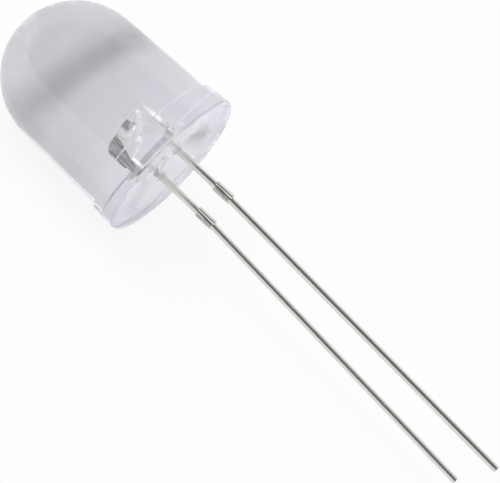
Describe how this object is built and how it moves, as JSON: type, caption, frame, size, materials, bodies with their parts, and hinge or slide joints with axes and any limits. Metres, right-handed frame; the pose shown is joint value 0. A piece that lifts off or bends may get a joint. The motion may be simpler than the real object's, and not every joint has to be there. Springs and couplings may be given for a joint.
{
  "type": "through hole led",
  "caption": "Round through-hole LED with a water-clear domed lens, a flange, a leadframe with a reflector cup, and two square leads with stops.",
  "frame": {"origin": "centre of the rim that the lens stands on, on the lens's axis", "axes": "+X along the lens's axis from the dome to the leads, +Z towards the anode lead, as the LED lies on a table with its cathode side down"},
  "size_m": [0.0404, 0.0108, 0.0108],
  "materials": {
    "clear_epoxy": "water-clear cast epoxy",
    "tinned_iron": "tin-plated iron, satin",
    "semiconductor": "polished crystal",
    "gold": "bare gold",
    "silver_paste": "cured silver-filled epoxy"
  },
  "bodies": {
    "root": {"lens": "clear_epoxy", "anode_lead": "tinned_iron", "cathode_lead": "tinned_iron", "led_chip": "semiconductor", "chip_electrode": "gold", "die_attach": "silver_paste", "bond_wire": "gold"}
  },
  "joints": []
}
